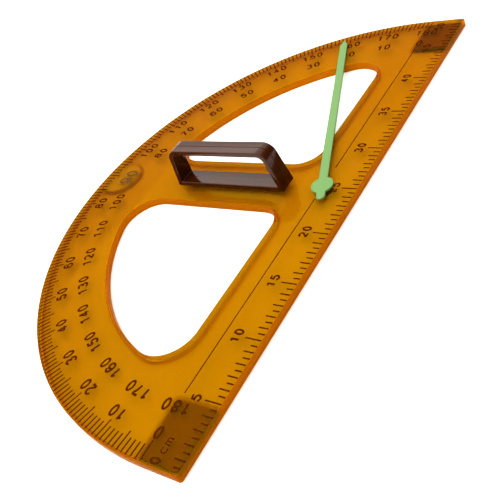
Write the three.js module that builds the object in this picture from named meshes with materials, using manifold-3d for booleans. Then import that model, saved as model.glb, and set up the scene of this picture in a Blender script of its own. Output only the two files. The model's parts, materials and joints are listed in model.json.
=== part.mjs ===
// Blackboard protractor, 50 cm: an amber plate with a carrying handle, a turning pointer and
// three magnets in pockets behind it.
//
// Millimetres, +Z up. The plate lies on its back, its printed face up. The origin is at the
// middle of the outline, on the plane that the rim rests on. +X runs along the ruler from
// 0 to 50 cm, and +Y runs from the ruler towards the arc.

import * as THREE from 'three';
import { mergeVertices } from 'three/addons/utils/BufferGeometryUtils.js';
import Module from 'manifold-3d';

const wasm = await Module();
wasm.setup();

// ---- Driving dimensions -------------------------------------------------------------------

const RULER_LENGTH = 500;
const ARC_RADIUS = RULER_LENGTH / 2;
const RULER_DROP = 31.2;          // from the dial centre down to the ruler's edge
const PLATE_HEIGHT = 6.8;         // from the board to the printed face
const DECK = 3;                   // thickness of the printed deck
const RIM = 3;                    // thickness of the rim and of the window flanges
const GAP = 0.1;                  // air between pieces that are fixed together
const CORNER = 2;                 // rounding of the ruler's two corners

// The dial centre, where the pointer turns, sits below the middle of the outline.
const DIAL_Y = (RULER_DROP - ARC_RADIUS) / 2;
const DECK_UNDERSIDE = PLATE_HEIGHT - DECK;

// The windows, measured from the dial centre.
const BRIDGE_HALF = 27;           // half the width of the bridge between the windows
const WINDOW_BASE = 23;           // height of a window's straight lower side
const WINDOW_ARC = 188.3;         // radius of a window's curved side
const BRIDGE_CORNER = 21;         // rounding between the bridge and the lower side
const OUTER_CORNER = 27;          // rounding between the lower side and the curved side
const UPPER_CORNER = 27;          // rounding between the curved side and the bridge

// The handle: a closed loop of flat bar, standing along the bridge.
const HANDLE_NEAR = 32;           // where its base starts, from the dial centre
const HANDLE_LENGTH = 115.6;      // length of its base
const HANDLE_HEIGHT = 38;
const HANDLE_WIDTH = 17;          // at the base
const HANDLE_TOP_WIDTH = 15.2;
const HANDLE_LEAN = 5.8;          // how far each leg leans in at the top
const HANDLE_BASE_BAR = 4.2;
const HANDLE_LEG = 4.5;
const HANDLE_TOP_BAR = 4.6;
const HANDLE_TOP_CORNER = 10.5;   // outside rounding of the two top corners
const HANDLE_FOOT_CORNER = 0.8;   // rounding of the two feet
const HANDLE_EDGE = 0.6;          // softened long edges

// The screws that hold the handle, from behind.
const SCREW_INSET = 12;           // from each end of the handle's base
const SCREW_SHANK = 1.5;
const SCREW_CLEARANCE = 0.2;
const SCREW_HEAD = 3.4;
const SCREW_HEAD_HEIGHT = 1.6;
const SCREW_REACH = 3.1;          // depth of the blind holes in the handle's base
const SCREW_BOSS = 5;
const BACK_RECESS = 0.3;          // how far the lowest loose pieces stay above the board

// The pointer, drawn along +X and then turned about the dial centre.
const POINTER_ANGLE = 21.4;       // degrees, from the ruler's direction
const POINTER_LENGTH = 240;
const POINTER_WIDTH = 7.7;
const POINTER_TIP = 11;           // length of the tapered tip
const POINTER_THICKNESS = 2;
const POINTER_LIFT = 0.6;         // air between the arm and the printed face
const HUB_RADIUS = 9.4;
const HUB_LIFT = 0.3;             // air between the hub's collar and the printed face
const TAIL_LENGTH = 17.5;
const TAIL_WIDTH = 7.4;

// The pivot: a pin with a head, from behind, with a washer under its head.
const PIN_RADIUS = 3.9;
const PIN_BORE = 4.1;
const PIN_STUD = 2.5;             // the pin's thin end, which sits in the hub
const PIN_STUD_HEIGHT = 1.2;
const PIN_HEAD = 7;
const PIN_HEAD_HEIGHT = 1.2;
const WASHER_THICKNESS = 0.6;
const PIVOT_BOSS = 8;

// The magnets, on foam pads in ribbed pockets: a block in each corner of the ruler's edge, and
// a round one at the top of the arc with its outer side trimmed to the rim.
const MAGNET_LENGTH = 43;
const MAGNET_WIDTH = 32;
const ROUND_MAGNET = 20;          // radius
const ROUND_MAGNET_Y = 233;       // from the dial centre
const MAGNET_AIR = 1;             // between a magnet and the walls of its pocket
const MAGNET_RECESS = 0.2;        // how far a magnet's face stays above the board
const PAD_THICKNESS = 0.6;
const RIB = 1.6;
const RIB_RECESS = 0.8;           // how far the ribs stay above the board

const ROUND_STEPS = 48;           // sides of a round pin or bore

// ---- Materials ----------------------------------------------------------------------------

function finish(color, roughness, metalness = 0) {
  return new THREE.MeshStandardMaterial({ color, roughness, metalness });
}

const AMBER = finish(0xcd8806, 0.25);
const BROWN = finish(0x4a2a20, 0.3);
const GREEN = finish(0x97cd79, 0.4);
const STEEL = finish(0xb4b6b8, 0.35, 1);
const NYLON = finish(0xe6e4dc, 0.5);
const FERRITE = finish(0x2f2e30, 0.6);
const FOAM = finish(0x3c3a38, 0.9);

// ---- Solids: three.js geometry in, manifold solids joined and cut, meshes out -----------------

function solid(geometry) {
  const bare = geometry.index ? geometry.toNonIndexed() : geometry.clone();
  bare.deleteAttribute('normal');
  bare.deleteAttribute('uv');
  const merged = mergeVertices(bare, 1e-4);
  return new wasm.Manifold(new wasm.Mesh({
    numProp: 3,
    vertProperties: new Float32Array(merged.attributes.position.array),
    triVerts: new Uint32Array(merged.index.array),
  }));
}

function meshOf(name, material, body) {
  const { vertProperties, triVerts } = body.getMesh();
  const geometry = new THREE.BufferGeometry();
  geometry.setAttribute('position', new THREE.BufferAttribute(vertProperties, 3));
  geometry.setIndex(new THREE.BufferAttribute(triVerts, 1));
  geometry.computeVertexNormals();
  const mesh = new THREE.Mesh(geometry, material);
  mesh.name = name;
  return mesh;
}

// A flat shape raised from one height to another.
function slab(shape, bottom, top, curveSegments = 12) {
  const geometry = new THREE.ExtrudeGeometry(shape, {
    depth: top - bottom, bevelEnabled: false, curveSegments,
  });
  geometry.translate(0, 0, bottom);
  return solid(geometry);
}

function disc(radius, bottom, top, x = 0, y = 0) {
  const geometry = new THREE.CylinderGeometry(radius, radius, top - bottom, ROUND_STEPS);
  geometry.rotateX(Math.PI / 2);
  geometry.translate(x, y, (bottom + top) / 2);
  return solid(geometry);
}

function block(x0, x1, y0, y1, z0, z1) {
  const geometry = new THREE.BoxGeometry(x1 - x0, y1 - y0, z1 - z0);
  geometry.translate((x0 + x1) / 2, (y0 + y1) / 2, (z0 + z1) / 2);
  return solid(geometry);
}

// ---- Outlines, all with the dial centre at 0, 0 ---------------------------------------------

const ARC_STEPS = 120;            // sides of the half circle
const CORNER_STEPS = 8;

function arcPoints(x, y, radius, from, to, steps) {
  const points = [];
  for (let i = 0; i <= steps; i += 1) {
    const angle = from + ((to - from) * i) / steps;
    points.push(new THREE.Vector2(x + radius * Math.cos(angle), y + radius * Math.sin(angle)));
  }
  return points;
}

// The plate's outline, moved inwards by `inset`.
function plateOutline(inset) {
  const radius = ARC_RADIUS - inset;
  const corner = Math.max(CORNER - inset, 0.5);
  const low = corner + inset - RULER_DROP;
  const side = radius - corner;
  return [
    ...arcPoints(-side, low, corner, Math.PI, 1.5 * Math.PI, CORNER_STEPS),
    ...arcPoints(side, low, corner, 1.5 * Math.PI, 2 * Math.PI, CORNER_STEPS),
    ...arcPoints(0, 0, radius, 0, Math.PI, ARC_STEPS),
  ];
}

// A window's outline, moved outwards into the plate by `grow`. side is 1 (right) or -1 (left).
function windowOutline(side, grow) {
  const arc = WINDOW_ARC + grow;
  const [inner, outer, upper] = [BRIDGE_CORNER, OUTER_CORNER, UPPER_CORNER].map((r) => r + grow);
  const bridge = BRIDGE_HALF - grow;
  const base = WINDOW_BASE - grow;
  const outerY = base + outer;
  const outerX = Math.sqrt((arc - outer) ** 2 - outerY ** 2);
  const outerEnd = Math.atan2(outerY, outerX);
  const upperX = bridge + upper;
  const upperY = Math.sqrt((arc - upper) ** 2 - upperX ** 2);
  const upperStart = Math.atan2(upperY, upperX);
  const right = [
    ...arcPoints(bridge + inner, base + inner, inner, Math.PI, 1.5 * Math.PI, CORNER_STEPS),
    ...arcPoints(outerX, outerY, outer, -Math.PI / 2, outerEnd, CORNER_STEPS + 4),
    ...arcPoints(0, 0, arc, outerEnd, upperStart, ARC_STEPS / 3),
    ...arcPoints(upperX, upperY, upper, upperStart, Math.PI, CORNER_STEPS),
  ];
  return right.map((point) => new THREE.Vector2(side * point.x, point.y));
}

// ---- The plate ----------------------------------------------------------------------------

const SCREW_Y = [HANDLE_NEAR + SCREW_INSET, HANDLE_NEAR + HANDLE_LENGTH - SCREW_INSET];

// The middle of a corner magnet. The rim is two of the four walls of its pocket.
const CORNER_MAGNET_X = ARC_RADIUS - RIM - MAGNET_AIR - MAGNET_LENGTH / 2;
const CORNER_MAGNET_Y = RIM + MAGNET_AIR + MAGNET_WIDTH / 2 - RULER_DROP;

// The plan of each magnet, grown by `grow` on all sides, as a prism from bottom to top.
function cornerPrism(side, grow, bottom, top) {
  const x = side * CORNER_MAGNET_X;
  const [halfX, halfY] = [MAGNET_LENGTH / 2 + grow, MAGNET_WIDTH / 2 + grow];
  const [low, high] = [CORNER_MAGNET_Y - halfY, CORNER_MAGNET_Y + halfY];
  return block(x - halfX, x + halfX, low, high, bottom, top);
}

function roundPrism(grow, bottom, top) {
  return disc(ROUND_MAGNET + grow, bottom, top, 0, ROUND_MAGNET_Y);
}

const MAGNETS = {
  left: (...sizes) => cornerPrism(-1, ...sizes),
  right: (...sizes) => cornerPrism(1, ...sizes),
  top: roundPrism,
};

// A prism of the plate's own outline, moved inwards by `inset`.
function plateRoom(inset, bottom, top) {
  return slab(new THREE.Shape(plateOutline(inset)), bottom, top);
}

// The ribs round one magnet. They run a little way into the rim and the deck.
function pocketRibs(prism) {
  const top = DECK_UNDERSIDE + DECK / 2;
  const outside = prism(MAGNET_AIR + RIB, RIB_RECESS, top);
  const inside = prism(MAGNET_AIR, 0, PLATE_HEIGHT);
  return outside.subtract(inside).intersect(plateRoom(RIM / 2, 0, PLATE_HEIGHT));
}

function plate() {
  const windows = [1, -1];
  const fullShape = new THREE.Shape(plateOutline(0));
  const hollowShape = new THREE.Shape(plateOutline(RIM));
  for (const side of windows) {
    fullShape.holes.push(new THREE.Path(windowOutline(side, 0)));
    hollowShape.holes.push(new THREE.Path(windowOutline(side, RIM)));
  }
  const hollow = slab(hollowShape, -1, DECK_UNDERSIDE);
  let body = slab(fullShape, 0, PLATE_HEIGHT).subtract(hollow);
  for (const prism of Object.values(MAGNETS)) {
    body = body.add(pocketRibs(prism));
  }
  const screwSeat = BACK_RECESS + SCREW_HEAD_HEIGHT + GAP;
  for (const y of SCREW_Y) {
    body = body.add(disc(SCREW_BOSS, screwSeat, DECK_UNDERSIDE + 1, 0, y));
    body = body.subtract(disc(SCREW_SHANK + SCREW_CLEARANCE, 0, PLATE_HEIGHT + 1, 0, y));
  }
  const washerSeat = BACK_RECESS + PIN_HEAD_HEIGHT + WASHER_THICKNESS + 2 * GAP;
  body = body.add(disc(PIVOT_BOSS, washerSeat, DECK_UNDERSIDE + 1));
  return body.subtract(disc(PIN_BORE, 0, PLATE_HEIGHT + 1));
}

// ---- The handle -----------------------------------------------------------------------------

// Rounds each corner of a polygon, `radii` in the same order as `corners`.
function roundedPolygon(corners, radii) {
  return corners.flatMap((corner, i) => {
    const before = corners.at(i - 1).clone().sub(corner).normalize();
    const after = corners[(i + 1) % corners.length].clone().sub(corner).normalize();
    const half = Math.acos(before.dot(after)) / 2;
    const middle = before.clone().add(after).normalize();
    const centre = corner.clone().addScaledVector(middle, radii[i] / Math.sin(half));
    const start = corner.clone().addScaledVector(before, radii[i] / Math.tan(half)).sub(centre);
    const end = corner.clone().addScaledVector(after, radii[i] / Math.tan(half)).sub(centre);
    const from = start.angle();
    let turn = end.angle() - from;
    turn -= 2 * Math.PI * Math.round(turn / (2 * Math.PI));
    return arcPoints(centre.x, centre.y, radii[i], from, from + turn, CORNER_STEPS);
  });
}

// The loop seen from the side: x along the base, y up.
function handleLoop() {
  const [width, height, lean] = [HANDLE_LENGTH, HANDLE_HEIGHT, HANDLE_LEAN];
  const outer = [[0, 0], [width, 0], [width - lean, height], [lean, height]];
  const slope = lean / height;
  const legAcross = HANDLE_LEG * Math.hypot(1, slope);
  const [low, high] = [HANDLE_BASE_BAR, height - HANDLE_TOP_BAR];
  const insideAt = (level) => legAcross + slope * level;
  const inner = [
    [insideAt(low), low], [width - insideAt(low), low],
    [width - insideAt(high), high], [insideAt(high), high],
  ];
  const points = (list) => list.map(([x, y]) => new THREE.Vector2(x, y));
  const [foot, top] = [HANDLE_FOOT_CORNER, HANDLE_TOP_CORNER];
  const shape = new THREE.Shape(roundedPolygon(points(outer), [foot, foot, top, top]));
  const innerTop = top - HANDLE_TOP_BAR;
  shape.holes.push(new THREE.Path(
    roundedPolygon(points(inner), [foot, foot, innerTop, innerTop]),
  ));
  return shape;
}

// Narrows the loop evenly towards its top, as the mould's draft does.
function taper(geometry) {
  const position = geometry.attributes.position;
  const loss = (1 - HANDLE_TOP_WIDTH / HANDLE_WIDTH) / HANDLE_HEIGHT;
  for (let i = 0; i < position.count; i += 1) {
    position.setX(i, position.getX(i) * (1 - loss * position.getZ(i)));
  }
}

function handle() {
  const geometry = new THREE.ExtrudeGeometry(handleLoop(), {
    depth: HANDLE_WIDTH - 2 * HANDLE_EDGE,
    bevelThickness: HANDLE_EDGE,
    bevelSize: HANDLE_EDGE,
    bevelOffset: -HANDLE_EDGE,
    bevelSegments: 2,
  });
  geometry.translate(0, 0, HANDLE_EDGE - HANDLE_WIDTH / 2);
  // Stand the loop up: its length runs along +Y and its height along +Z.
  geometry.rotateX(Math.PI / 2);
  geometry.rotateZ(Math.PI / 2);
  taper(geometry);
  geometry.translate(0, HANDLE_NEAR, PLATE_HEIGHT + GAP);
  let body = solid(geometry);
  const blindEnd = PLATE_HEIGHT + GAP + SCREW_REACH;
  for (const y of SCREW_Y) {
    body = body.subtract(disc(SCREW_SHANK + SCREW_CLEARANCE, PLATE_HEIGHT, blindEnd, 0, y));
  }
  return body;
}

function handleScrew(y) {
  const headTop = BACK_RECESS + SCREW_HEAD_HEIGHT;
  const shankEnd = PLATE_HEIGHT + SCREW_REACH - GAP;
  const head = disc(SCREW_HEAD, BACK_RECESS, headTop, 0, y);
  return head.add(disc(SCREW_SHANK, BACK_RECESS + 0.5, shankEnd, 0, y));
}

// ---- The pointer and its pivot ----------------------------------------------------------------

function pointerOutline() {
  const arm = POINTER_WIDTH / 2;
  const tail = TAIL_WIDTH / 2;
  const armAngle = Math.asin(arm / HUB_RADIUS);
  const tailAngle = Math.asin(tail / HUB_RADIUS);
  return [
    new THREE.Vector2(POINTER_LENGTH - POINTER_TIP, -arm),
    new THREE.Vector2(POINTER_LENGTH, 0),
    new THREE.Vector2(POINTER_LENGTH - POINTER_TIP, arm),
    ...arcPoints(0, 0, HUB_RADIUS, armAngle, Math.PI - tailAngle, 2 * CORNER_STEPS),
    ...arcPoints(tail - TAIL_LENGTH, 0, tail, Math.PI / 2, 1.5 * Math.PI, 2 * CORNER_STEPS),
    ...arcPoints(0, 0, HUB_RADIUS, Math.PI + tailAngle, 2 * Math.PI - armAngle, 2 * CORNER_STEPS),
  ];
}

const HUB_UNDERSIDE = PLATE_HEIGHT + HUB_LIFT;
const POINTER_UNDERSIDE = PLATE_HEIGHT + POINTER_LIFT;

function pointer() {
  const top = POINTER_UNDERSIDE + POINTER_THICKNESS;
  const arm = slab(new THREE.Shape(pointerOutline()), POINTER_UNDERSIDE, top);
  const collar = disc(PIVOT_BOSS, HUB_UNDERSIDE, POINTER_UNDERSIDE + 0.5);
  const socketTop = HUB_UNDERSIDE + PIN_STUD_HEIGHT + GAP;
  const socket = disc(PIN_STUD + GAP, PLATE_HEIGHT, socketTop);
  return arm.add(collar).subtract(socket);
}

function pivotPin() {
  const shoulder = HUB_UNDERSIDE - GAP;
  const profile = [
    [0, BACK_RECESS],
    [PIN_HEAD, BACK_RECESS],
    [PIN_HEAD, BACK_RECESS + PIN_HEAD_HEIGHT],
    [PIN_RADIUS, BACK_RECESS + PIN_HEAD_HEIGHT],
    [PIN_RADIUS, shoulder],
    [PIN_STUD, shoulder],
    [PIN_STUD, HUB_UNDERSIDE + PIN_STUD_HEIGHT],
    [0, HUB_UNDERSIDE + PIN_STUD_HEIGHT],
  ].map(([radius, height]) => new THREE.Vector2(radius, height));
  const geometry = new THREE.LatheGeometry(profile, ROUND_STEPS);
  geometry.rotateX(Math.PI / 2);
  return solid(geometry);
}

function pivotWasher() {
  const bottom = BACK_RECESS + PIN_HEAD_HEIGHT + GAP;
  const top = bottom + WASHER_THICKNESS;
  return disc(PIN_HEAD, bottom, top).subtract(disc(PIN_BORE, bottom - 1, top + 1));
}

// ---- The magnets ------------------------------------------------------------------------------

const PAD_TOP = DECK_UNDERSIDE - GAP;
const PAD_BOTTOM = PAD_TOP - PAD_THICKNESS;

function insidePocket(prism, bottom, top) {
  return prism(0, bottom, top).intersect(plateRoom(RIM + MAGNET_AIR, bottom - 1, top + 1));
}

// ---- Assembly -------------------------------------------------------------------------------

const dial = new THREE.Group();
dial.position.y = DIAL_Y;

dial.add(meshOf('protractor_plate', AMBER, plate()));
dial.add(meshOf('handle', BROWN, handle()));
dial.add(meshOf('handle_screw_near', STEEL, handleScrew(SCREW_Y[0])));
dial.add(meshOf('handle_screw_far', STEEL, handleScrew(SCREW_Y[1])));
for (const [place, prism] of Object.entries(MAGNETS)) {
  const magnet = insidePocket(prism, MAGNET_RECESS, PAD_BOTTOM - GAP);
  const pad = insidePocket(prism, PAD_BOTTOM, PAD_TOP);
  dial.add(meshOf(`magnet_${place}`, FERRITE, magnet));
  dial.add(meshOf(`magnet_pad_${place}`, FOAM, pad));
}

const turning = new THREE.Group();
turning.rotation.z = THREE.MathUtils.degToRad(POINTER_ANGLE);
turning.add(meshOf('pointer', GREEN, pointer()));
turning.add(meshOf('pivot_pin', NYLON, pivotPin()));
turning.add(meshOf('pivot_washer', STEEL, pivotWasher()));
dial.add(turning);

const protractor = new THREE.Group();
protractor.add(dial);

export default protractor;
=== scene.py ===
"""Blackboard protractor: smooth meshes, printed scales, materials, light and camera.

Sizes are in millimetres and measured from the dial centre, with Z up from the plane that the
rim rests on. make_object turns them into metres in the shared frame. The floor, the light and
the camera are placed in metres.
"""

import json
import math

import bpy
from mathutils import Euler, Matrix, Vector
from mathutils.geometry import tessellate_polygon


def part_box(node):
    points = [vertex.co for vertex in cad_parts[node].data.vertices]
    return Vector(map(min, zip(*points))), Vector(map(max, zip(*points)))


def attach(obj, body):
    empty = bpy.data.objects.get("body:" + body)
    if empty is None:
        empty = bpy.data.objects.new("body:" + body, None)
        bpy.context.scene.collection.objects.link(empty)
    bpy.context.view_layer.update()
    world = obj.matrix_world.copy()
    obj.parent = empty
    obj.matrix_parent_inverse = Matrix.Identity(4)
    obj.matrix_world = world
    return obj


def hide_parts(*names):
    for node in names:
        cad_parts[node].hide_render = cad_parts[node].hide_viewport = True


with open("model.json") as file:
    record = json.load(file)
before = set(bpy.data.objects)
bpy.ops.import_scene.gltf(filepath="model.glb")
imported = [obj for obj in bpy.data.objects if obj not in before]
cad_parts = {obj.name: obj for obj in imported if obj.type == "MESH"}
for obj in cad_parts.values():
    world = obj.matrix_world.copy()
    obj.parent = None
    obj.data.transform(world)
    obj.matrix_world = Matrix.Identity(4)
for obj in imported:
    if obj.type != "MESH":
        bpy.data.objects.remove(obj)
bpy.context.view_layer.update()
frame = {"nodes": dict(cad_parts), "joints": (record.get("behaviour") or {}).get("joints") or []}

# ---- Driving sizes --------------------------------------------------------------------------

MM = 0.001
DIAL = Vector(frame["joints"][0]["pos_m"])      # the pivot, on the printed face


def box_mm(node):
    """A CAD node's corners in millimetres from the dial centre."""
    low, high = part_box(node)
    base = Vector((DIAL.x, DIAL.y, 0))
    return (low - base) / MM, (high - base) / MM


PLATE_LOW, PLATE_HIGH = box_mm("protractor_plate")
HANDLE_LOW, HANDLE_HIGH = box_mm("handle")
POINTER_LOW, POINTER_HIGH = box_mm("pointer")

ARC_RADIUS = (PLATE_HIGH.x - PLATE_LOW.x) / 2
RULER_Y = PLATE_LOW.y                           # the ruler's edge
TOP = PLATE_HIGH.z                              # the printed face
DECK = 3.0                                      # thickness of the deck
DECK_UNDERSIDE = TOP - DECK
RIM = 3.0                                       # thickness of rim and window flanges
PLATE_CORNER = 2.0
LEAST_CORNER = 0.3                              # what is left of it where the outline moves in
PLATE_EDGE = 0.6                                # rounding of the plate's upper edges
PLATE_FOOT = 0.4                                # rounding of the rim's foot
ARC_STEPS = 720

# The ribs round the magnets.
RIB = 1.6                                       # thickness
RIB_RECESS = 0.8                                # how far the ribs stay above the board
RIB_GAP = 0.02                                  # air between a rib and the deck or rim
MAGNET_AIR = 1.0                                # air between a rib and its magnet

# The bores, with their bosses behind the deck. All are radii unless they say otherwise.
SCREW_Y = (44.0, 135.6)                         # where the two screws stand
SCREW_BORE = 1.7
SCREW_BOSS = 5.0
SCREW_SEAT = 2.0                                # height of the boss's foot above the board
SCREW_DEPTH = 3.1                               # depth of the blind holes in the handle
PIN_BORE = 4.1
PIVOT_BOSS = 8.0
WASHER_SEAT = 2.3                               # height of the boss's foot above the board

# The screws.
SCREW_SHANK = 1.5                               # radius
SCREW_CHAMFER = 0.3
SCREW_HEAD = 3.4                                # radius
SCREW_HEAD_HEIGHT = 1.6
SCREW_HEAD_EDGE = 0.2
SCREW_HEAD_DOME = ((0, 0.7), (0.3, 0.3), (0.9, 0))    # (inwards, up) over the head's rounding
RECESS_DEPTH = 1.0
RECESS_ARM = 1.6                                # from the middle of the cross to its end
RECESS_HALF = 0.4                               # half the width of an arm of the cross

# The windows.
BRIDGE_HALF = 27.0                              # half the width of the bridge between them
WINDOW_BASE = 23.0                              # y of a window's straight lower side
WINDOW_ARC = 188.3                              # radius of a window's curved side
WINDOW_STEPS = 200
BRIDGE_CORNER = 21.0
OUTER_CORNER = 27.0
UPPER_CORNER = 27.0

# The handle, a closed loop of flat bar.
HANDLE_TOP_WIDTH = 15.2
HANDLE_LEAN = 5.8                               # how far each end leans in over its height
HANDLE_BASE_BAR = 4.2                           # thickness
HANDLE_LEG = 4.5                                # thickness
HANDLE_TOP_BAR = 4.6                            # thickness
HANDLE_TOP_CORNER = 10.5
HANDLE_FOOT_CORNER = 0.8
HANDLE_EDGE = 0.7                               # rounding of the long edges
GROOVE_HALF = 0.35                              # the mould's parting groove
GROOVE_DEPTH = 0.5

# The pointer.
POINTER_ANGLE = math.radians(21.4)
POINTER_LENGTH = 240.0
POINTER_WIDTH = 7.7
POINTER_TIP = 11.0
HUB_RADIUS = 9.4
TAIL_LENGTH = 17.5
TAIL_WIDTH = 7.4
POINTER_EDGE = 0.5
POINTER_LOWER_EDGE = 0.3
COLLAR = 0.3                                    # height of the collar below the hub
SOCKET_RADIUS = 2.6
SOCKET_DEPTH = 1.3

SOFT_EDGE = 0.25                                # rounding of the CAD nodes that are kept

# The print.
INK_LOW = TOP + 0.01
INK_HIGH = TOP + 0.03
INK_LIFT = 0.008                                # step between strokes that cross
TICK_WIDTH = 1.15
HAIRLINE = 0.9

# The degree scale, as radii from the dial centre. A text is (height, pitch, stroke width).
DEGREE_TICK_START = ARC_RADIUS - 1.2
DEGREE_TICK_END = 238.0
FIFTH_TICK_END = 234.5
NUMBER_RINGS = (228.7, 209.6)                   # the two directions' numbers
DEGREE_TEXT = (9.5, 8.0, 1.75)
RIGHT_ANGLE_PLACE = (-1.0, 220.0)
RIGHT_ANGLE_TEXT = (14.0, 10.4, 2.1)

# The ruler scale. Its ticks are measured from the ruler's edge.
RULER_TICK_START = 0.9
HALF_CM_TICK = 6.5
CM_TICK = 9.2
FIVE_CM_TICK = 14.0
RULER_TEXT = (8.0, 6.6, 1.6)
RULER_TEXT_Y = -10.2
ZERO_X = -245.3
FIFTY_X = 238.0
UNIT_TEXT = (9.3, 5.4, 0.85)
UNIT_PLACE = (-234.6, -9.6)
BASE_LINE_Y = 0.3
BASE_LINES = ((-199.5, -14.0), (24.0, 200.0))   # to the left and right of the hub


# ---- Meshes -----------------------------------------------------------------------------------

def make_object(name, verts, faces, material, smooth=True):
    """A mesh from millimetre points round the dial centre. smooth may be one flag per face."""
    mesh = bpy.data.meshes.new(name)
    points = [(x * MM + DIAL.x, y * MM + DIAL.y, z * MM) for x, y, z in verts]
    mesh.from_pydata(points, [], faces)
    flags = [smooth] * len(faces) if isinstance(smooth, bool) else smooth
    mesh.polygons.foreach_set("use_smooth", flags)
    mesh.set_sharp_from_angle(angle=math.radians(32))
    mesh.materials.append(material)
    obj = bpy.data.objects.new(name, mesh)
    bpy.context.scene.collection.objects.link(obj)
    return obj


def make_piece(name, verts, faces, material, body, smooth=True):
    """An object that is a piece of the model and moves with a body."""
    obj = make_object(name, verts, faces, material, smooth)
    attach(obj, body)
    return obj


def arc_points(x, y, radius, start, end, steps):
    """Points on an arc, both ends included."""
    angles = [start + (end - start) * i / steps for i in range(steps + 1)]
    return [(x + radius * math.cos(a), y + radius * math.sin(a)) for a in angles]


def plate_outline(inset):
    """The plate's outline moved inwards, always with the same number of points."""
    radius = ARC_RADIUS - inset
    corner = max(PLATE_CORNER - inset, LEAST_CORNER)
    low = RULER_Y + inset + corner
    side = radius - corner
    half = math.pi / 2
    return (
        arc_points(-side, low, corner, -math.pi, -half, 8)
        + arc_points(side, low, corner, -half, 0, 8)
        + arc_points(0, 0, radius, 0, math.pi, ARC_STEPS)
    )


def window_outline(side, grow):
    """A window's outline moved outwards into the plate. side is 1 or -1."""
    arc = WINDOW_ARC + grow
    inner, outer, upper = BRIDGE_CORNER + grow, OUTER_CORNER + grow, UPPER_CORNER + grow
    bridge, base = BRIDGE_HALF - grow, WINDOW_BASE - grow
    outer_y = base + outer
    outer_x = math.sqrt((arc - outer) ** 2 - outer_y ** 2)
    outer_end = math.atan2(outer_y, outer_x)
    upper_x = bridge + upper
    upper_y = math.sqrt((arc - upper) ** 2 - upper_x ** 2)
    upper_start = math.atan2(upper_y, upper_x)
    points = (
        arc_points(bridge + inner, base + inner, inner, math.pi, 1.5 * math.pi, 24)
        + arc_points(outer_x, outer_y, outer, -math.pi / 2, outer_end, 32)
        + arc_points(0, 0, arc, outer_end, upper_start, WINDOW_STEPS)
        + arc_points(upper_x, upper_y, upper, upper_start, math.pi, 24)
    )
    return [(side * x, y) for x, y in points]


def rounded_step(radius, steps=4):
    """(inwards, downwards) offsets of a rounded edge, from the flat face to the side."""
    turns = [math.pi / 2 * i / steps for i in range(steps + 1)]
    return [(radius * (1 - math.sin(a)), radius * (1 - math.cos(a))) for a in turns]


class Shell:
    """Collects rings of points and joins them with smooth walls and flat caps."""

    def __init__(self):
        self.verts = []
        self.faces = []
        self.smooth = []
        self.slots = []

    def ring(self, points, z):
        """Adds an outline at a height and returns its points' numbers."""
        start = len(self.verts)
        self.verts += [(x, y, z) for x, y in points]
        return list(range(start, len(self.verts)))

    def wall(self, upper, lower, slot=0):
        """Joins two rings. The wall faces outwards where they run anticlockwise from above."""
        count = len(upper)
        for i in range(count):
            j = (i + 1) % count
            self.faces.append((upper[i], lower[i], lower[j], upper[j]))
            self.smooth.append(True)
            self.slots.append(slot)

    def cap(self, rings, up, slot=0):
        """Fills a flat outline, the first ring, and leaves the other rings open as holes."""
        flat = [index for ring in rings for index in ring]
        loops = [[Vector(self.verts[index]) for index in ring] for ring in rings]
        for triangle in tessellate_polygon(loops):
            a, b, c = (flat[k] for k in triangle)
            cross = (
                (self.verts[b][0] - self.verts[a][0]) * (self.verts[c][1] - self.verts[a][1])
                - (self.verts[b][1] - self.verts[a][1]) * (self.verts[c][0] - self.verts[a][0])
            )
            self.faces.append((a, b, c) if (cross > 0) == up else (a, c, b))
            self.smooth.append(False)
            self.slots.append(slot)


def window_opening(side):
    """A window's outline, clockwise, as a function of how far it moves into the plate."""
    return lambda inset: window_outline(side, inset)[::-side]


def circle_outline(x, y, radius):
    """A bore's outline, clockwise, as a function of how far it moves into the plate."""
    return lambda inset: arc_points(x, y, radius + inset, math.pi, -math.pi, 40)[:-1]


def boss_profile(bore, boss, seat):
    """(inset, z) down a bore, across the foot of its boss and up to the deck's underside."""
    soft = 0.2
    return [
        (soft, TOP), (0, TOP - soft), (0, seat), (boss - bore - soft, seat),
        (boss - bore, seat + soft), (boss - bore, DECK_UNDERSIDE),
    ]


def rim_profile():
    """(inset, z) from the face over the rounded edge, down to the foot of the rim and back up."""
    foot = rounded_step(PLATE_FOOT, 3)
    profile = [(inwards, TOP - down) for inwards, down in rounded_step(PLATE_EDGE)]
    profile += [(inwards, down) for inwards, down in reversed(foot)]
    profile += [(RIM - inwards, down) for inwards, down in foot]
    profile.append((RIM, DECK_UNDERSIDE))
    return profile


def build_plate(face, edge, back, foot):
    """The plate: a deck with a rim below it round the outline and round both windows, and with
    a boss below each bore."""
    shell = Shell()
    sides = [(plate_outline, rim_profile())]
    for side in (1, -1):
        sides.append((window_opening(side), rim_profile()))
    screw_boss = boss_profile(SCREW_BORE, SCREW_BOSS, SCREW_SEAT)
    for y in SCREW_Y:
        sides.append((circle_outline(0, y, SCREW_BORE), screw_boss))
    pivot_boss = boss_profile(PIN_BORE, PIVOT_BOSS, WASHER_SEAT)
    sides.append((circle_outline(0, 0, PIN_BORE), pivot_boss))
    tops, undersides = [], []
    for outline, profile in sides:
        rings = [shell.ring(outline(inset), z) for inset, z in profile]
        for (_, z), upper, lower in zip(profile, rings, rings[1:]):
            # Walls above the deck's underside take the edge amber, and those below it take the
            # foot amber: tinted copies that carry painted shade.
            shell.wall(upper, lower, 1 if z > DECK_UNDERSIDE else 3)
        tops.append(rings[0])
        undersides.append(rings[-1])
    shell.cap(tops, True)
    shell.cap(undersides, False, 2)
    plate = make_piece("plate_body", shell.verts, shell.faces, face, "plate",
                       shell.smooth)
    for material in (edge, back, foot):
        plate.data.materials.append(material)
    plate.data.polygons.foreach_set("material_index", shell.slots)
    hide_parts("protractor_plate")


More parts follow.
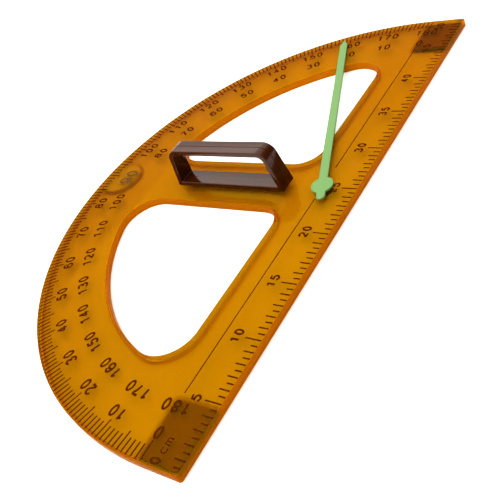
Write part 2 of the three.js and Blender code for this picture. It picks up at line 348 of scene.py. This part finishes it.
def build_rib(name, outline, material):
    """A rib below the deck, from its plan."""
    shell = Shell()
    upper = shell.ring(outline, DECK_UNDERSIDE - RIB_GAP)
    lower = shell.ring(outline, RIB_RECESS)
    shell.wall(upper, lower)
    shell.cap([upper], True)
    shell.cap([lower], False)
    make_piece(name, shell.verts, shell.faces, material, "plate", shell.smooth)


def build_pocket_ribs(material):
    """An L round each corner magnet and a ring round the top one, all ending at the rim."""
    reach = ARC_RADIUS - RIM - RIB_GAP
    magnet_low, magnet_high = box_mm("magnet_right")
    x, y = magnet_low.x - MAGNET_AIR, magnet_high.y + MAGNET_AIR
    foot = RULER_Y + RIM + RIB_GAP
    for place, side in (("right", 1), ("left", -1)):
        corner = [
            (x - RIB, foot), (x, foot), (x, y), (math.sqrt(reach ** 2 - y ** 2), y),
            (math.sqrt(reach ** 2 - (y + RIB) ** 2), y + RIB), (x - RIB, y + RIB),
        ]
        build_rib(f"pocket_rib_{place}", [(side * a, b) for a, b in corner][::side], material)
    magnet_low, magnet_high = box_mm("magnet_top")
    radius = (magnet_high.x - magnet_low.x) / 2
    middle = magnet_low.y + radius
    arcs = []
    for grown in (radius + MAGNET_AIR, radius + MAGNET_AIR + RIB):
        rise = (reach ** 2 + middle ** 2 - grown ** 2) / (2 * middle) - middle
        end = math.asin(rise / grown)
        arcs.append(arc_points(0, middle, grown, end, -math.pi - end, 60))
    build_rib("pocket_rib_top", arcs[0] + arcs[1][::-1], material)


# ---- Ink ----------------------------------------------------------------------------------------

class Ink:
    """Collects thin strokes and makes one raised print of them."""

    def __init__(self):
        self.verts = []
        self.faces = []
        self.strokes = 0

    def stroke(self, path, width, closed=False):
        """A ribbon of even width along a path of (x, y) points.

        Strokes that cross lie at three slightly different heights, so no two faces coincide.
        """
        half = width / 2
        lift = INK_LIFT * (self.strokes % 3)
        self.strokes += 1
        count = len(path)
        start = len(self.verts)
        for i, (x, y) in enumerate(path):
            before = path[i - 1] if closed or i > 0 else path[i]
            after = path[(i + 1) % count] if closed or i < count - 1 else path[i]
            into = Vector((x - before[0], y - before[1]))
            out = Vector((after[0] - x, after[1] - y))
            into = into.normalized() if into.length > 1e-9 else out.normalized()
            out = out.normalized() if out.length > 1e-9 else into
            middle = (into + out).normalized()
            reach = half / max(middle.dot(into), 0.5)
            side = Vector((-middle.y, middle.x)) * reach
            for z in (INK_LOW + lift, INK_HIGH + lift):
                self.verts.append((x + side.x, y + side.y, z))
                self.verts.append((x - side.x, y - side.y, z))
        for i in range(count if closed else count - 1):
            a = start + 4 * i
            b = start + 4 * ((i + 1) % count)
            self.faces += [
                (a + 2, a + 3, b + 3, b + 2),
                (a, b, b + 1, a + 1),
                (a, a + 2, b + 2, b),
                (a + 1, b + 1, b + 3, a + 3),
            ]
        if not closed:
            last = start + 4 * (count - 1)
            self.faces += [
                (start, start + 1, start + 3, start + 2),
                (last, last + 2, last + 3, last + 1),
            ]

    def piece(self, name, material):
        """Makes one piece of all the strokes."""
        make_piece(name, self.verts, self.faces, material, "plate", False)


def oval(x, y, rx, ry, start, end, steps=14):
    """Points on an elliptical arc, angles in degrees."""
    angles = [math.radians(start + (end - start) * i / steps) for i in range(steps + 1)]
    return [(x + rx * math.cos(a), y + ry * math.sin(a)) for a in angles]


# Each glyph is a list of (path, closed) strokes in a box 0.6 wide and 1 high, drawn along the
# middle of the stroke and then moved in by half a stroke.
def zero():
    return [(oval(0.3, 0.5, 0.27, 0.5, 0, 360, 28)[:-1], True)]


def one():
    return [([(0.37, 0), (0.37, 1)], False), ([(0.37, 0.98), (0.28, 0.84), (0.08, 0.76)], False)]


def two():
    bowl = oval(0.3, 0.7, 0.29, 0.3, 165, -30)
    return [(bowl + [(0.02, 0.01)], False), ([(0, 0), (0.6, 0)], False)]


def three():
    upper = oval(0.29, 0.76, 0.25, 0.24, 160, -90)
    lower = oval(0.29, 0.26, 0.3, 0.26, 90, -160)
    return [(upper, False), (lower, False)]


def four():
    return [
        ([(0.42, 0), (0.42, 1)], False),
        ([(0.42, 0.98), (0, 0.27)], False),
        ([(-0.03, 0.27), (0.6, 0.27)], False),
    ]


def five():
    bowl = oval(0.28, 0.32, 0.31, 0.32, 140, -160)
    return [([(0.54, 1), (0.12, 1)], False), ([(0.12, 1.03), (0.05, 0.5)], False), (bowl, False)]


def six():
    bowl = oval(0.3, 0.3, 0.3, 0.3, 0, 360, 24)[:-1]
    back = [(0, 0.3)] + oval(0.31, 0.52, 0.31, 0.48, 180, 30)
    return [(bowl, True), (back, False)]


def seven():
    return [([(0, 1), (0.6, 1)], False), ([(0.59, 0.99), (0.36, 0.55), (0.24, 0)], False)]


def eight():
    upper = oval(0.3, 0.76, 0.25, 0.24, 0, 360, 24)[:-1]
    lower = oval(0.3, 0.26, 0.3, 0.26, 0, 360, 24)[:-1]
    return [(upper, True), (lower, True)]


def nine():
    return [([(0.6 - x, 1 - y) for x, y in path], closed) for path, closed in six()]


def letter_c():
    return [(oval(0.27, 0.25, 0.25, 0.25, 45, 315), False)]


def letter_m():
    humps = [oval(x, 0.33, 0.13, 0.17, 180, 0, 8) + [(x + 0.13, 0)] for x in (0.18, 0.44)]
    return [([(0.05, 0), (0.05, 0.5)], False)] + [(hump, False) for hump in humps]


GLYPHS = {
    "0": zero(), "1": one(), "2": two(), "3": three(), "4": four(), "5": five(), "6": six(),
    "7": seven(), "8": eight(), "9": nine(), "c": letter_c(), "m": letter_m(),
}


def write(ink, text, x, y, turn, height, pitch, weight):
    """Writes text centred on x, y, its baseline turned by `turn` radians."""
    drawn = height - weight
    cosine, sine = math.cos(turn), math.sin(turn)
    first = -pitch * (len(text) - 1) / 2
    for index, letter in enumerate(text):
        middle = first + index * pitch
        for path, closed in GLYPHS[letter]:
            placed = []
            for u, v in path:
                along = middle + (u - 0.3) * drawn
                up = (v - 0.5) * drawn
                placed.append((x + along * cosine - up * sine, y + along * sine + up * cosine))
            ink.stroke(placed, weight, closed)


def tick(ink, angle, end, width):
    """One tick of the degree scale, inwards from the arc."""
    cosine, sine = math.cos(angle), math.sin(angle)
    path = [(radius * cosine, radius * sine) for radius in (DEGREE_TICK_START, end)]
    ink.stroke(path, width)


def build_degree_scale(material):
    """Ticks for every degree, and the numbers in both directions."""
    ticks = Ink()
    for degree in range(1, 180):
        end = FIFTH_TICK_END if degree % 5 == 0 else DEGREE_TICK_END
        tick(ticks, math.radians(degree), end, TICK_WIDTH)
    tick(ticks, math.pi, FIFTH_TICK_END, HAIRLINE)
    tick(ticks, 0, FIFTH_TICK_END, HAIRLINE)
    ticks.piece("degree_ticks", material)
    numbers = Ink()
    for value in range(0, 181, 10):
        if value == 90:
            continue
        angle = math.radians(180 - value)
        for number, radius in zip((value, 180 - value), NUMBER_RINGS):
            x, y = radius * math.cos(angle), radius * math.sin(angle)
            write(numbers, str(number), x, y, angle - math.pi / 2, *DEGREE_TEXT)
    numbers.piece("degree_numbers", material)


def build_right_angle_mark(material):
    """The single large 90 at the top of the dial."""
    ninety = Ink()
    write(ninety, "90", *RIGHT_ANGLE_PLACE, 0, *RIGHT_ANGLE_TEXT)
    ninety.piece("right_angle_number", material)


def build_ruler_scale(material):
    """The ruler's ticks every 5 mm, its numbers and the base line."""
    ticks = Ink()
    start = RULER_Y + RULER_TICK_START
    for half in range(-49, 50):
        if half % 10 == 0:
            reach = FIVE_CM_TICK
        elif half % 2 == 0:
            reach = CM_TICK
        else:
            reach = HALF_CM_TICK
        ticks.stroke([(half * 5, start), (half * 5, RULER_Y + reach)], TICK_WIDTH)
    ticks.piece("ruler_ticks", material)
    numbers = Ink()
    places = [(str(cm), cm * 10 - ARC_RADIUS) for cm in range(5, 50, 5)]
    for text, x in places + [("0", ZERO_X), ("50", FIFTY_X)]:
        write(numbers, text, x, RULER_TEXT_Y, 0, *RULER_TEXT)
    write(numbers, "cm", *UNIT_PLACE, 0, *UNIT_TEXT)
    numbers.piece("ruler_numbers", material)
    line = Ink()
    for start, end in BASE_LINES:
        line.stroke([(start, BASE_LINE_Y), (end, BASE_LINE_Y)], HAIRLINE)
    line.piece("base_line", material)


# ---- The handle ---------------------------------------------------------------------------------

def rounded_polygon(corners, radii, steps):
    """Rounds each corner of a polygon that runs anticlockwise."""
    points = []
    for i, corner in enumerate(corners):
        corner = Vector(corner)
        before = (Vector(corners[i - 1]) - corner).normalized()
        after = (Vector(corners[(i + 1) % len(corners)]) - corner).normalized()
        half = math.acos(before.dot(after)) / 2
        centre = corner + (before + after).normalized() * (radii[i] / math.sin(half))
        start = corner + before * (radii[i] / math.tan(half)) - centre
        turn = math.pi - 2 * half
        first = math.atan2(start.y, start.x)
        points += arc_points(centre.x, centre.y, radii[i], first, first + turn, steps)
    return points


def handle_loops():
    """The outer and inner outline of the loop from the side: x along it, y up."""
    length = HANDLE_HIGH.y - HANDLE_LOW.y
    height = HANDLE_HIGH.z - HANDLE_LOW.z
    lean = HANDLE_LEAN
    outer = [(0, 0), (length, 0), (length - lean, height), (lean, height)]
    slope = lean / height
    across = HANDLE_LEG * math.hypot(1, slope)
    low, high = HANDLE_BASE_BAR, height - HANDLE_TOP_BAR
    reach_low, reach_high = across + slope * low, across + slope * high
    inner = [
        (reach_low, low), (length - reach_low, low),
        (length - reach_high, high), (reach_high, high),
    ]
    foot, top = HANDLE_FOOT_CORNER, HANDLE_TOP_CORNER
    outer_points = rounded_polygon(outer, [foot, foot, top, top], 14)
    inner_top = top - HANDLE_TOP_BAR
    inner_points = rounded_polygon(inner, [foot, foot, inner_top, inner_top], 14)
    return outer_points, inner_points


def build_handle(material):
    """Sweeps the grooved bar round the loop, narrower towards the top."""
    outer, inner = handle_loops()
    height = HANDLE_HIGH.z - HANDLE_LOW.z
    half_base = (HANDLE_HIGH.x - HANDLE_LOW.x) / 2
    loss = (1 - HANDLE_TOP_WIDTH / (2 * half_base)) / height
    verts, faces = [], []
    for (outer_x, outer_y), (inner_x, inner_y) in zip(outer, inner):
        thickness = math.hypot(outer_x - inner_x, outer_y - inner_y)
        for across, outwards in section_points(half_base, thickness):
            share = outwards / thickness
            x = inner_x + (outer_x - inner_x) * share
            y = inner_y + (outer_y - inner_y) * share
            wide = across * (1 - loss * y)
            verts.append((wide, HANDLE_LOW.y + x, HANDLE_LOW.z + y))
    rings = len(outer)
    size = len(verts) // rings
    for i in range(rings):
        this, following = i * size, (i + 1) % rings * size
        for k in range(size):
            beside = (k + 1) % size
            faces.append((this + k, this + beside, following + beside, following + k))
    handle = make_piece("handle_loop", verts, faces, material, "plate")
    for y in SCREW_Y:
        drill(handle, 0, y, SCREW_BORE, HANDLE_LOW.z - 1, TOP + SCREW_DEPTH)
    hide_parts("handle")


def drill(piece, x, y, radius, low, high):
    """Cuts a round hole into a piece."""
    shell = Shell()
    circle = arc_points(x, y, radius, 0, 2 * math.pi, 32)[:-1]
    upper, lower = shell.ring(circle, high), shell.ring(circle, low)
    shell.wall(upper, lower)
    shell.cap([upper], True)
    shell.cap([lower], False)
    cutter = make_object("cutter", shell.verts, shell.faces, piece.data.materials[0])
    modifier = piece.modifiers.new("hole", "BOOLEAN")
    modifier.operation = "DIFFERENCE"
    modifier.object = cutter
    depsgraph = bpy.context.evaluated_depsgraph_get()
    cut = bpy.data.meshes.new_from_object(piece.evaluated_get(depsgraph))
    piece.modifiers.clear()
    piece.data = cut
    bpy.data.objects.remove(cutter)


def section_points(half_width, thickness):
    """The bar's section, anticlockwise as (across, outwards), with rounded long edges and a
    parting groove along the middle of its outer and inner faces."""
    edge = rounded_step(HANDLE_EDGE)
    quarter = [(half_width - inwards, thickness - down) for inwards, down in edge]
    right = [(x, thickness - y) for x, y in quarter] + quarter[::-1]
    groove = [(GROOVE_HALF, thickness), (0, thickness - GROOVE_DEPTH), (-GROOVE_HALF, thickness)]
    left = [(-x, y) for x, y in reversed(right)]
    under = [(-x, thickness - y) for x, y in groove]
    return right + groove + left + under


# ---- The screws ------------------------------------------------------------------------------

def build_screw(place, y, material):
    """A pan-head screw, head down, with a cross recess."""
    low, high = (corner.z for corner in box_mm(f"handle_screw_{place}"))
    shoulder = low + SCREW_HEAD_HEIGHT
    shell = Shell()
    profile = [
        (SCREW_SHANK - SCREW_CHAMFER, high), (SCREW_SHANK, high - SCREW_CHAMFER),
        (SCREW_SHANK, shoulder),
        (SCREW_HEAD - SCREW_HEAD_EDGE, shoulder), (SCREW_HEAD, shoulder - SCREW_HEAD_EDGE),
    ]
    profile += [(SCREW_HEAD - inwards, low + up) for inwards, up in SCREW_HEAD_DOME]
    rings = [shell.ring(arc_points(0, y, radius, 0, 2 * math.pi, 40)[:-1], z)
             for radius, z in profile]
    for upper, lower in zip(rings, rings[1:]):
        shell.wall(upper, lower)
    quarter = [(RECESS_HALF, RECESS_HALF), (RECESS_ARM, RECESS_HALF), (RECESS_ARM, -RECESS_HALF)]
    cross = []
    for cosine, sine in ((1, 0), (0, 1), (-1, 0), (0, -1)):
        cross += [(a * cosine + b * sine, b * cosine - a * sine + y) for a, b in quarter]
    slot_foot, slot_end = shell.ring(cross, low), shell.ring(cross, low + RECESS_DEPTH)
    shell.wall(slot_end, slot_foot)
    shell.cap([rings[0]], True)
    shell.cap([rings[-1], slot_foot], False)
    shell.cap([slot_end], False)
    screw = make_piece(f"screw_{place}", shell.verts, shell.faces, material, "plate",
                       shell.smooth)
    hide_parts(f"handle_screw_{place}")


# ---- The pointer --------------------------------------------------------------------------------

def pointer_outline(inset):
    """The pointer's outline along +X, moved inwards."""
    half = POINTER_WIDTH / 2
    arm = half - inset
    tail = TAIL_WIDTH / 2 - inset
    hub = HUB_RADIUS - inset
    tip = POINTER_LENGTH - inset * math.hypot(POINTER_TIP, half) / half
    shoulder = tip - POINTER_TIP * arm / half
    arm_angle, tail_angle = math.asin(arm / hub), math.asin(tail / hub)
    end = TAIL_LENGTH - TAIL_WIDTH / 2
    return (
        [(shoulder, -arm), (tip, 0), (shoulder, arm)]
        + arc_points(0, 0, hub, arm_angle, math.pi - tail_angle, 24)
        + arc_points(-end, 0, tail, math.pi / 2, 1.5 * math.pi, 20)
        + arc_points(0, 0, hub, math.pi + tail_angle, 2 * math.pi - arm_angle, 24)
    )


def build_pointer(material):
    """The arm with its hub, and below the hub the collar with the socket for the pin."""
    shell = Shell()
    low, high = POINTER_LOW.z + COLLAR, POINTER_HIGH.z
    under = rounded_step(POINTER_LOWER_EDGE, 2)
    profile = [(inwards, high - down) for inwards, down in rounded_step(POINTER_EDGE)]
    profile += [(inwards, low + down) for inwards, down in reversed(under)]
    rings = [shell.ring(pointer_outline(inset), z) for inset, z in profile]
    for upper, lower in zip(rings, rings[1:]):
        shell.wall(upper, lower)
    shell.cap([rings[0]], True)
    steps = (
        (PIVOT_BOSS, low), (PIVOT_BOSS, low - COLLAR),
        (SOCKET_RADIUS, low - COLLAR), (SOCKET_RADIUS, low - COLLAR + SOCKET_DEPTH),
    )
    collar = [shell.ring(arc_points(0, 0, radius, 0, 2 * math.pi, 40)[:-1], z)
              for radius, z in steps]
    for upper, lower in zip(collar, collar[1:]):
        shell.wall(upper, lower)
    shell.cap([rings[-1], collar[0]], False)
    shell.cap([collar[-1]], False)
    cosine, sine = math.cos(POINTER_ANGLE), math.sin(POINTER_ANGLE)
    turned = [(x * cosine - y * sine, x * sine + y * cosine, z) for x, y, z in shell.verts]
    arm = make_piece("pointer_arm", turned, shell.faces, material, "pointer",
                     shell.smooth)
    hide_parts("pointer")


# ---- Materials ----------------------------------------------------------------------------------

def new_material(name, **sockets):
    """A Principled material. Spaces in socket names are written as underscores."""
    material = bpy.data.materials.new(name)
    material.use_nodes = True
    shader = material.node_tree.nodes["Principled BSDF"]
    for key, value in sockets.items():
        shader.inputs[key.replace("_", " ")].default_value = value
    return material, material.node_tree, shader


def noise(tree, scale, detail=3.0, roughness=0.5):
    """Noise in the frame's own metres, so that it stays on the piece."""
    coordinates = tree.nodes.new("ShaderNodeTexCoord")
    node = tree.nodes.new("ShaderNodeTexNoise")
    node.inputs["Scale"].default_value = scale
    node.inputs["Detail"].default_value = detail
    node.inputs["Roughness"].default_value = roughness
    tree.links.new(coordinates.outputs["Object"], node.inputs["Vector"])
    return node.outputs["Fac"]


def ramp(tree, source, stops):
    """Two colours mixed by a value."""
    node = tree.nodes.new("ShaderNodeValToRGB")
    elements = node.color_ramp.elements
    for element, (position, colour) in zip(elements, stops):
        element.position = position
        element.color = (*colour, 1)
    tree.links.new(source, node.inputs["Fac"])
    return node.outputs["Color"]


def spread(tree, source, low, high):
    """Maps noise onto the values from low to high."""
    node = tree.nodes.new("ShaderNodeMapRange")
    node.inputs["From Min"].default_value = 0.3
    node.inputs["From Max"].default_value = 0.7
    node.inputs["To Min"].default_value = low
    node.inputs["To Max"].default_value = high
    tree.links.new(source, node.inputs["Value"])
    return node.outputs["Result"]


def bump(tree, shader, source, strength, distance):
    """Fine relief in the shading. distance is its height in metres."""
    node = tree.nodes.new("ShaderNodeBump")
    node.inputs["Strength"].default_value = strength
    node.inputs["Distance"].default_value = distance
    tree.links.new(source, node.inputs["Height"])
    tree.links.new(node.outputs["Normal"], shader.inputs["Normal"])


DYE = (0.95, 0.65, 0.05, 1)
DYE_DENSITY = 100.0
ORANGE_SHEEN = (1.0, 0.4, 0.02, 1)


def plate_material(name, tint, clearness, index, sheen, roughness):
    """Amber plastic: clear, tinted through its depth, with a faint waviness."""
    material, tree, shader = new_material(
        name, Transmission_Weight=clearness, IOR=index, Metallic=sheen, Specular_Tint=ORANGE_SHEEN,
    )
    darker, lighter = ([share * channel for channel in tint] for share in (0.975, 1.025))
    colour = ramp(tree, noise(tree, 9.0, 2.0), [(0.3, darker), (0.7, lighter)])
    tree.links.new(colour, shader.inputs["Base Color"])
    haze = spread(tree, noise(tree, 160.0), *roughness)
    tree.links.new(haze, shader.inputs["Roughness"])
    bump(tree, shader, noise(tree, 30.0, 1.0), 0.15, 0.0002)
    volume = tree.nodes.new("ShaderNodeVolumeAbsorption")
    volume.inputs["Color"].default_value = DYE
    volume.inputs["Density"].default_value = DYE_DENSITY
    output = tree.nodes["Material Output"]
    tree.links.new(volume.outputs["Volume"], output.inputs["Volume"])
    return material


def simple_material(name, light, dark, grain, roughness, depth, **sockets):
    """Two close colours and two roughnesses mixed by noise, with a fine bump."""
    material, tree, shader = new_material(name, **sockets)
    source = noise(tree, grain)
    colour = ramp(tree, source, [(0.35, dark), (0.65, light)])
    tree.links.new(colour, shader.inputs["Base Color"])
    tree.links.new(spread(tree, source, *roughness), shader.inputs["Roughness"])
    bump(tree, shader, noise(tree, grain * 3), 0.3, depth)
    return material


AMBER = plate_material(
    "amber_face", (0.82, 0.703, 0.001), clearness=0.985, index=1.04, sheen=0.025,
    roughness=(0.05, 0.08),
)
# The walls' amber is tinted darker and redder than the face's: painted shade standing in for the
# deeper colour that light takes on through the plate's edges. Their rougher, less clear surface is
# real.
AMBER_EDGE = plate_material(
    "amber_edge", (0.56, 0.22, 0.002), clearness=0.75, index=1.05, sheen=0.06,
    roughness=(0.15, 0.25),
)
AMBER_BACK = plate_material(
    "amber_back", (0.82, 0.703, 0.001), clearness=0.985, index=1.06, sheen=0.0,
    roughness=(0.8, 0.9),
)
# A more orange copy of the back's amber for the feet of the rims and bosses: painted shade for the
# orange-brown band that the thick rims show along the edges.
AMBER_FOOT = plate_material(
    "amber_foot", (0.82, 0.53, 0.001), clearness=0.985, index=1.06, sheen=0.0,
    roughness=(0.8, 0.9),
)
BROWN = simple_material(
    "brown_plastic", (0.048, 0.0105, 0.002), (0.038, 0.0085, 0.0015), grain=120.0,
    roughness=(0.09, 0.15), depth=0.00001, IOR=1.38, Specular_Tint=(1.0, 0.93, 0.8, 1),
)
GREEN = simple_material(
    "green_plastic", (0.112, 0.243, 0.05), (0.104, 0.228, 0.046), grain=90.0,
    roughness=(0.35, 0.45), depth=0.00001, IOR=1.5,
)
INK = simple_material(
    "brown_ink", (0.075, 0.018, 0.001), (0.062, 0.015, 0.001), grain=400.0,
    roughness=(0.4, 0.5), depth=0.000004, Specular_IOR_Level=0.0,
)
PALE_INK = simple_material(
    "pale_brown_ink", (0.13, 0.06, 0.02), (0.11, 0.05, 0.016), grain=400.0,
    roughness=(0.4, 0.5), depth=0.000004, Specular_IOR_Level=0.0,
)
STEEL = simple_material(
    "zinc_steel", (0.55, 0.56, 0.57), (0.45, 0.46, 0.47), grain=300.0,
    roughness=(0.28, 0.4), depth=0.000008, Metallic=1.0,
)
NYLON = simple_material(
    "white_nylon", (0.78, 0.77, 0.73), (0.74, 0.73, 0.69), grain=200.0,
    roughness=(0.4, 0.5), depth=0.00001,
)
FERRITE = simple_material(
    "ferrite", (0.12, 0.06, 0.035), (0.09, 0.045, 0.026), grain=500.0,
    roughness=(0.45, 0.65), depth=0.00003,
)
# Ferrite coloured far paler than its own dark grey, so that the top magnet and its side, shaded in
# the narrow pocket, read lighter through the plate: painted light.
SHADE_LIFTED_FERRITE = simple_material(
    "ferrite_lightened_as_painted_light", (0.9, 0.76, 0.45), (0.84, 0.7, 0.41), grain=300.0,
    roughness=(0.5, 0.65), depth=0.00003,
)
FOAM = simple_material(
    "brown_foam", (0.32, 0.04, 0.01), (0.26, 0.03, 0.01), grain=900.0,
    roughness=(0.85, 0.95), depth=0.0001,
)
PALE_FOAM = simple_material(
    "pale_foam", (0.8, 0.62, 0.34), (0.74, 0.57, 0.3), grain=900.0,
    roughness=(0.85, 0.95), depth=0.0001,
)


# ---- Pieces -------------------------------------------------------------------------------------

def dress(node, material):
    """Gives a CAD node its material and soft edges."""
    obj = frame["nodes"][node]
    obj.data.materials.clear()
    obj.data.materials.append(material)
    modifier = obj.modifiers.new("soft_edges", "BEVEL")
    modifier.width = SOFT_EDGE * MM
    modifier.segments = 2
    modifier.limit_method = "ANGLE"
    modifier.angle_limit = math.radians(40)


build_plate(AMBER, AMBER_EDGE, AMBER_BACK, AMBER_FOOT)
build_pocket_ribs(AMBER_BACK)
build_degree_scale(INK)
build_right_angle_mark(PALE_INK)
build_ruler_scale(INK)
build_handle(BROWN)
build_pointer(GREEN)
# The top magnet takes the lightened ferrite, painted light against the shade in its pocket.
for place in ("left", "right", "top"):
    dress(f"magnet_{place}", SHADE_LIFTED_FERRITE if place == "top" else FERRITE)
    dress(f"magnet_pad_{place}", PALE_FOAM if place == "top" else FOAM)
for place, y in zip(("near", "far"), SCREW_Y):
    build_screw(place, y, STEEL)
dress("pivot_pin", NYLON)
dress("pivot_washer", STEEL)


# ---- Floor, light and camera --------------------------------------------------------------------

FLOOR_REACH = 6.0
FLOOR_DROP = 0.0001                             # keeps the floor clear of the rim's foot
BACK_LIGHT = (0.59, 0.633, 0.5)                 # towards the brightest part of the surroundings
BACK_LIGHT_START = 0.9                          # cosine of the angle at which it sets in
DARK_SIDE = (0.6, -0.65, 0.46)                  # towards the darkest part above the horizon
DARK_SIDE_START = 0.75
RISE = (0.35, 0.65)                             # heights between which the light grows
CAMERA_PLACE = (-0.3482, -0.4036, 0.3212)
CAMERA_TURN = (49.983, 20.629, -59.726)         # degrees
CAMERA_SHIFT = (-0.0508, -0.0183)
LENS = 50.64


def build_floor():
    """A plain white floor just below the plate."""
    mesh = bpy.data.meshes.new("floor")
    corners = [(x * FLOOR_REACH, y * FLOOR_REACH, -FLOOR_DROP)
               for x, y in ((-1, -1), (1, -1), (1, 1), (-1, 1))]
    mesh.from_pydata(corners, [], [(0, 1, 2, 3)])
    floor = bpy.data.objects.new("floor", mesh)
    bpy.context.scene.collection.objects.link(floor)
    material, _, _ = new_material("floor_white", Base_Color=(0.9, 0.9, 0.9, 1), Roughness=0.9,
                                  Specular_IOR_Level=0.0)
    mesh.materials.append(material)


def build_world(horizon, overhead, back, side):
    """White light all round, dimmer towards the horizon. As the camera sees it, it is brighter
    behind the object and dimmer to the right of it."""
    world = bpy.data.worlds.new("studio")
    world.use_nodes = True
    tree = world.node_tree
    direction = tree.nodes.new("ShaderNodeTexCoord")
    split = tree.nodes.new("ShaderNodeSeparateXYZ")
    rising = tree.nodes.new("ShaderNodeMapRange")
    rising.inputs["From Min"].default_value, rising.inputs["From Max"].default_value = RISE
    rising.inputs["To Min"].default_value = horizon
    rising.inputs["To Max"].default_value = overhead
    rising.interpolation_type = "SMOOTHSTEP"
    strength = rising.outputs["Result"]
    patches = ((BACK_LIGHT, BACK_LIGHT_START, back), (DARK_SIDE, DARK_SIDE_START, side))
    for towards, start, factor in patches:
        facing = tree.nodes.new("ShaderNodeVectorMath")
        facing.operation = "DOT_PRODUCT"
        facing.inputs[1].default_value = towards
        patch = tree.nodes.new("ShaderNodeMapRange")
        patch.inputs["From Min"].default_value = start
        patch.inputs["To Min"].default_value = 1.0
        patch.inputs["To Max"].default_value = factor
        patch.interpolation_type = "SMOOTHSTEP"
        product = tree.nodes.new("ShaderNodeMath")
        product.operation = "MULTIPLY"
        tree.links.new(direction.outputs["Generated"], facing.inputs[0])
        tree.links.new(facing.outputs["Value"], patch.inputs["Value"])
        tree.links.new(strength, product.inputs[0])
        tree.links.new(patch.outputs["Result"], product.inputs[1])
        strength = product.outputs["Value"]
    background = tree.nodes["Background"]
    background.inputs["Color"].default_value = (1, 1, 1, 1)
    tree.links.new(direction.outputs["Generated"], split.inputs["Vector"])
    tree.links.new(split.outputs["Z"], rising.inputs["Value"])
    tree.links.new(strength, background.inputs["Strength"])
    bpy.context.scene.world = world


def build_light(name, place, size, power):
    """A soft square lamp aimed at the frame's origin."""
    data = bpy.data.lights.new(name, "AREA")
    data.size = size
    data.energy = power
    light = bpy.data.objects.new(name, data)
    bpy.context.scene.collection.objects.link(light)
    light.location = place
    light.rotation_euler = (-Vector(place)).to_track_quat("-Z", "Y").to_euler()


def build_camera():
    """The camera, above the object and to the left of its front."""
    data = bpy.data.cameras.new("camera")
    data.sensor_width = 36.0
    data.lens = LENS
    data.shift_x, data.shift_y = CAMERA_SHIFT
    data.clip_start = 0.01
    camera = bpy.data.objects.new("camera", data)
    bpy.context.scene.collection.objects.link(camera)
    camera.location = CAMERA_PLACE
    camera.rotation_euler = Euler([math.radians(angle) for angle in CAMERA_TURN])
    bpy.context.scene.camera = camera


build_floor()
build_world(horizon=0.7, overhead=1.9, back=1.45, side=0.06)
build_light("key", place=(-0.9, 0.9, 1.5), size=1.4, power=20.0)
build_camera()
bpy.context.scene.view_settings.view_transform = "Standard"
bpy.context.scene.view_settings.look = "Medium High Contrast"
